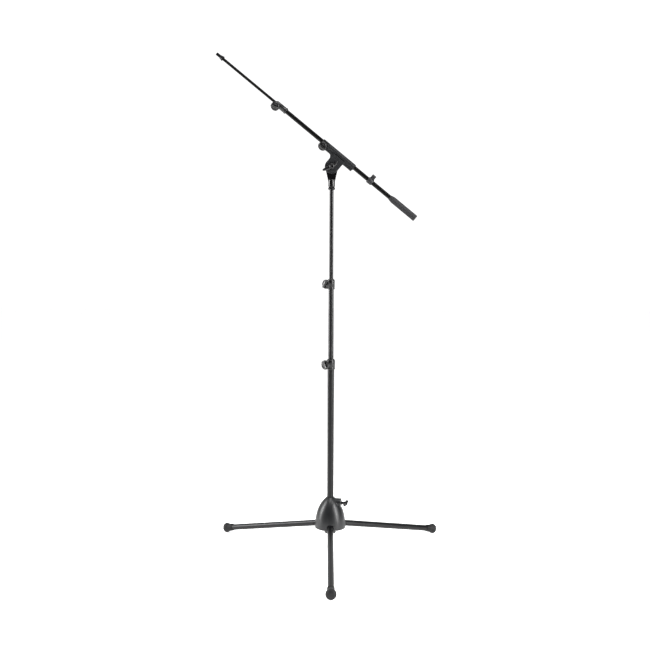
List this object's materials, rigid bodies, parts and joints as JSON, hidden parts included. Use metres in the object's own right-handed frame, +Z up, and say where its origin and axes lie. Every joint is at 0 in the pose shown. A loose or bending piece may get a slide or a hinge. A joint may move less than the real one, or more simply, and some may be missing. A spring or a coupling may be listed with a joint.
{
  "type": "boom microphone stand",
  "caption": "Tripod microphone stand with a telescopic column and a tilting, sliding boom that has a counterweight and a threaded tip for a microphone holder.",
  "frame": {"origin": "on the column's axis at floor level, under the bell", "axes": "+Z up the column; -Y along the front leg; the boom lies in the XZ plane with its threaded tip towards -X and up"},
  "size_m": [0.6687, 0.5692, 1.4436],
  "materials": {
    "black_coated_steel": "black powder coat, semi-gloss",
    "grey_cast_metal": "dark grey powder coat on a zinc casting, satin",
    "bell_cast_metal": "dark grey powder coat on an iron casting, satin",
    "black_plastic": "moulded glass-filled plastic, semi-gloss",
    "bush_plastic": "black moulded plastic, satin",
    "bright_steel": "nickel-plated steel",
    "black_steel": "blackened steel",
    "foot_rubber": "black rubber, matte",
    "grip_rubber": "dark grey rubber, matte",
    "grey_plastic": "dark grey moulded plastic, matte"
  },
  "bodies": {
    "column": {"lower_tube": "black_coated_steel", "tube_end_collar": "black_plastic", "tube_end_plug": "bush_plastic", "lower_collar": "black_plastic", "lower_clamp_pad": "bush_plastic"},
    "hub": {"bell_housing": "bell_cast_metal", "leg_hinge_pins": "bright_steel", "hub_clamp_pad": "bush_plastic"},
    "hub_clamp": {"hub_clamp_screw": "black_steel", "hub_clamp_bar": "black_steel", "hub_clamp_ball_tips": "black_plastic"},
    "front_leg": {"front_leg_root": "grey_cast_metal", "front_leg_tube": "black_coated_steel", "front_foot": "foot_rubber"},
    "right_leg": {"right_leg_root": "grey_cast_metal", "right_leg_tube": "black_coated_steel", "right_foot": "foot_rubber"},
    "left_leg": {"left_leg_root": "grey_cast_metal", "left_leg_tube": "black_coated_steel", "left_foot": "foot_rubber"},
    "lower_knob": {"lower_clamp_stud": "bright_steel", "lower_clamp_knob": "black_plastic"},
    "lower_bush": {"lower_liner": "bush_plastic"},
    "middle": {"middle_tube": "black_coated_steel", "middle_guide_bush": "bush_plastic", "upper_collar": "black_plastic", "upper_clamp_pad": "bush_plastic"},
    "upper_knob": {"upper_clamp_stud": "bright_steel", "upper_clamp_knob": "black_plastic"},
    "upper_bush": {"upper_liner": "bush_plastic"},
    "rod": {"top_rod": "black_coated_steel", "rod_guide_bush": "bush_plastic", "rod_thread_stud": "bright_steel", "head_stem": "grey_cast_metal", "tilt_bolt": "black_steel"},
    "stem_nut": {"stem_lock_nut": "black_steel"},
    "wing": {"tilt_wing": "black_plastic", "wing_nut_insert": "bright_steel"},
    "head": {"head_casting": "grey_cast_metal", "friction_washer": "bush_plastic", "head_clamp_pad": "bush_plastic"},
    "boom_knob": {"head_clamp_stud": "bright_steel", "head_clamp_knob": "black_plastic"},
    "boom_bush": {"boom_liner": "bush_plastic"},
    "boom": {"boom_tube": "black_coated_steel", "extension_collar": "black_plastic", "extension_clamp_pad": "bush_plastic", "counterweight_slug": "bright_steel", "boom_end_plug": "bush_plastic", "counterweight_grip": "grip_rubber"},
    "extension_knob": {"extension_clamp_stud": "bright_steel", "extension_clamp_knob": "black_plastic"},
    "extension_bush": {"extension_liner": "bush_plastic"},
    "extension": {"extension_rod": "black_coated_steel", "extension_guide_ring": "bush_plastic", "thread_stub": "black_steel"},
    "tip_nut": {"tip_lock_nut": "black_steel"},
    "clip": {"cable_clip": "grey_plastic"}
  },
  "joints": [
    {"name": "hub_slide", "type": "slide", "parent": "column", "child": "hub", "axis": [0, 0, 1], "range_m": [0, 0.28]},
    {"name": "hub_clamp_turn", "type": "hinge", "parent": "hub", "child": "hub_clamp", "pos_m": [0, 0, 0.14], "axis": [0.9781, -0.2079, 0], "range_deg": [0, 450]},
    {"name": "front_leg_fold", "type": "hinge", "parent": "hub", "child": "front_leg", "pos_m": [0, -0.03, 0.07886], "axis": [1, 0, 0], "range_deg": [0, 79.5]},
    {"name": "right_leg_fold", "type": "hinge", "parent": "hub", "child": "right_leg", "pos_m": [0.02598, 0.015, 0.07886], "axis": [-0.5, 0.866, 0], "range_deg": [0, 79.5]},
    {"name": "left_leg_fold", "type": "hinge", "parent": "hub", "child": "left_leg", "pos_m": [-0.02598, 0.015, 0.07886], "axis": [-0.5, -0.866, 0], "range_deg": [0, 79.5]},
    {"name": "lower_knob_turn", "type": "hinge", "parent": "column", "child": "lower_knob", "pos_m": [0, 0, 0.534], "axis": [-0.6947, -0.7193, 0], "range_deg": [0, 450]},
    {"name": "middle_swivel", "type": "hinge", "parent": "column", "child": "lower_bush", "pos_m": [0, 0, 0.54], "axis": [0, 0, 1], "continuous": true},
    {"name": "middle_slide", "type": "slide", "parent": "lower_bush", "child": "middle", "axis": [0, 0, 1], "range_m": [-0.19, 0.15]},
    {"name": "upper_knob_turn", "type": "hinge", "parent": "middle", "child": "upper_knob", "pos_m": [0, 0, 0.7655], "axis": [-0.6947, -0.7193, 0], "range_deg": [0, 450]},
    {"name": "rod_swivel", "type": "hinge", "parent": "middle", "child": "upper_bush", "pos_m": [0, 0, 0.77], "axis": [0, 0, 1], "continuous": true},
    {"name": "rod_slide", "type": "slide", "parent": "upper_bush", "child": "rod", "axis": [0, 0, 1], "range_m": [-0.25, 0.13]},
    {"name": "stem_nut_turn", "type": "hinge", "parent": "rod", "child": "stem_nut", "pos_m": [0, 0, 1.044], "axis": [0, 0, 1], "continuous": true},
    {"name": "head_tilt", "type": "hinge", "parent": "rod", "child": "head", "pos_m": [0, 0, 1.1076], "axis": [0, 1, 0], "range_deg": [-130, 50]},
    {"name": "wing_turn", "type": "hinge", "parent": "rod", "child": "wing", "pos_m": [0, 0, 1.1076], "axis": [0, -1, 0], "range_deg": [0, 450]},
    {"name": "boom_knob_turn", "type": "hinge", "parent": "head", "child": "boom_knob", "pos_m": [-0.01919, 0, 1.17539], "axis": [-0.3924, -0.788, -0.4744], "range_deg": [0, 450]},
    {"name": "boom_roll", "type": "hinge", "parent": "head", "child": "boom_bush", "pos_m": [0.0255, 0, 1.13842], "axis": [-0.7705, 0, 0.6374], "continuous": true},
    {"name": "boom_slide", "type": "slide", "parent": "boom_bush", "child": "boom", "axis": [0.7705, 0, -0.6374], "range_m": [-0.05, 0.135]},
    {"name": "extension_knob_turn", "type": "hinge", "parent": "boom", "child": "extension_knob", "pos_m": [-0.15866, 0, 1.29076], "axis": [-0.3564, -0.829, -0.4309], "range_deg": [0, 450]},
    {"name": "extension_roll", "type": "hinge", "parent": "boom", "child": "extension_bush", "pos_m": [-0.15943, 0, 1.2914], "axis": [-0.7705, 0, 0.6374], "continuous": true},
    {"name": "extension_slide", "type": "slide", "parent": "extension_bush", "child": "extension", "axis": [-0.7705, 0, 0.6374], "range_m": [-0.19, 0.097]},
    {"name": "tip_nut_turn", "type": "hinge", "parent": "extension", "child": "tip_nut", "pos_m": [-0.32432, 0, 1.42781], "axis": [-0.7705, 0, 0.6374], "continuous": true},
    {"name": "clip_slide", "type": "slide", "parent": "boom", "child": "clip", "axis": [-0.7705, 0, 0.6374], "range_m": [-0.064, 0.05]}
  ],
  "couplings": [
    {"joint": "front_leg_fold", "follows": "hub_slide", "rad_per_m": 4.9243},
    {"joint": "right_leg_fold", "follows": "hub_slide", "rad_per_m": 4.9243},
    {"joint": "left_leg_fold", "follows": "hub_slide", "rad_per_m": 4.9243}
  ]
}
